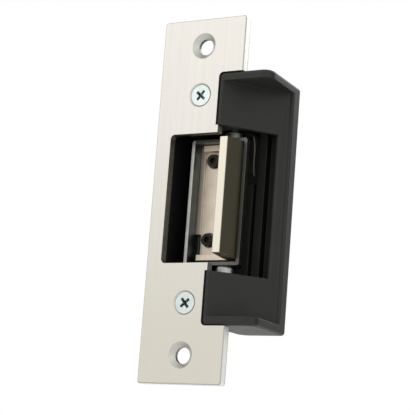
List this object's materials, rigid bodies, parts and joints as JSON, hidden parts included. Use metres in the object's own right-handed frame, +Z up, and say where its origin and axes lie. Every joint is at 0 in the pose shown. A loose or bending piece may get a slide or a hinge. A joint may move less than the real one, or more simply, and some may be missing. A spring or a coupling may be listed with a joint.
{
  "type": "electric door strike",
  "caption": "Electric door strike with a narrow face plate, a swinging keeper in a black side-opening shroud, and a solenoid lock behind it.",
  "frame": {"origin": "centre of the face plate's back face, midway between its two mounting holes, where the plate seats on the jamb", "axes": "+X to the side on which the keeper opens, +Y into the door jamb, +Z up"},
  "size_m": [0.0422, 0.051, 0.1238],
  "materials": {
    "brushed_stainless": "vertically brushed satin stainless steel",
    "zinc_screw": "bright zinc plating with a cool tint",
    "black_casting": "fine-textured satin black enamel on a die casting",
    "dark_nickel": "smoky nickel plating",
    "nickel_casting": "warm nickel-plated casting with polished lip edge",
    "black_oxide": "black oxide",
    "hardened_steel": "ground hardened steel",
    "bronze": "sintered bronze",
    "spring_steel": "drawn spring wire",
    "zinc_steel": "zinc-plated steel strip",
    "natural_nylon": "moulded natural nylon",
    "enamelled_copper": "enamelled copper wire",
    "yellow_tape": "polyester insulating tape",
    "soft_iron": "turned and nickel-plated soft iron",
    "red_insulation": "extruded PVC",
    "black_insulation": "extruded PVC",
    "black_rubber": "moulded rubber",
    "tinned_contact": "tinned brass"
  },
  "bodies": {
    "strike_body": {"face_plate": "brushed_stainless", "face_plate_screws": "zinc_screw", "strike_case": "black_casting", "back_cover": "black_casting", "back_cover_screws": "zinc_screw", "lip_shroud": "black_casting", "shroud_screws": "zinc_screw", "keeper_pivot_pins": "hardened_steel", "keeper_spring": "spring_steel", "solenoid_yoke": "zinc_steel", "coil_bobbin": "natural_nylon", "coil_winding": "enamelled_copper", "coil_tape": "yellow_tape", "solenoid_core": "soft_iron", "plunger_spring": "spring_steel", "solenoid_screws": "zinc_screw", "lever_pivot_pin": "hardened_steel", "lever_clip": "spring_steel", "lead_red": "red_insulation", "lead_black": "black_insulation", "lead_grommet": "black_rubber", "connector_plug": "natural_nylon", "connector_contacts": "tinned_contact"},
    "keeper": {"keeper_carrier": "dark_nickel", "keeper_lip": "nickel_casting", "keeper_lip_screws": "black_oxide", "lock_lug": "hardened_steel", "keeper_bushings": "bronze"},
    "plunger": {"plunger": "soft_iron", "plunger_link_pin": "hardened_steel"},
    "lock_lever": {"lock_lever": "zinc_steel"}
  },
  "joints": [
    {"name": "keeper_swing", "type": "hinge", "parent": "strike_body", "child": "keeper", "pos_m": [0.0076, 0.0086, 0], "axis": [0, 0, 1], "range_deg": [0, 80], "stiffness_Nm_per_rad": 0.02, "deforming": ["keeper_spring"]},
    {"name": "plunger_pull", "type": "slide", "parent": "strike_body", "child": "plunger", "axis": [0, 0, -1], "range_m": [0, 0.0025], "stiffness_N_per_m": 250, "deforming": ["plunger_spring"]},
    {"name": "lever_swing", "type": "hinge", "parent": "strike_body", "child": "lock_lever", "pos_m": [0.0074, 0.025, 0.014], "axis": [0, -1, 0], "range_deg": [0, 18.8]}
  ],
  "couplings": [
    {"joint": "lever_swing", "follows": "plunger_pull", "rad_per_m": 130.3}
  ]
}
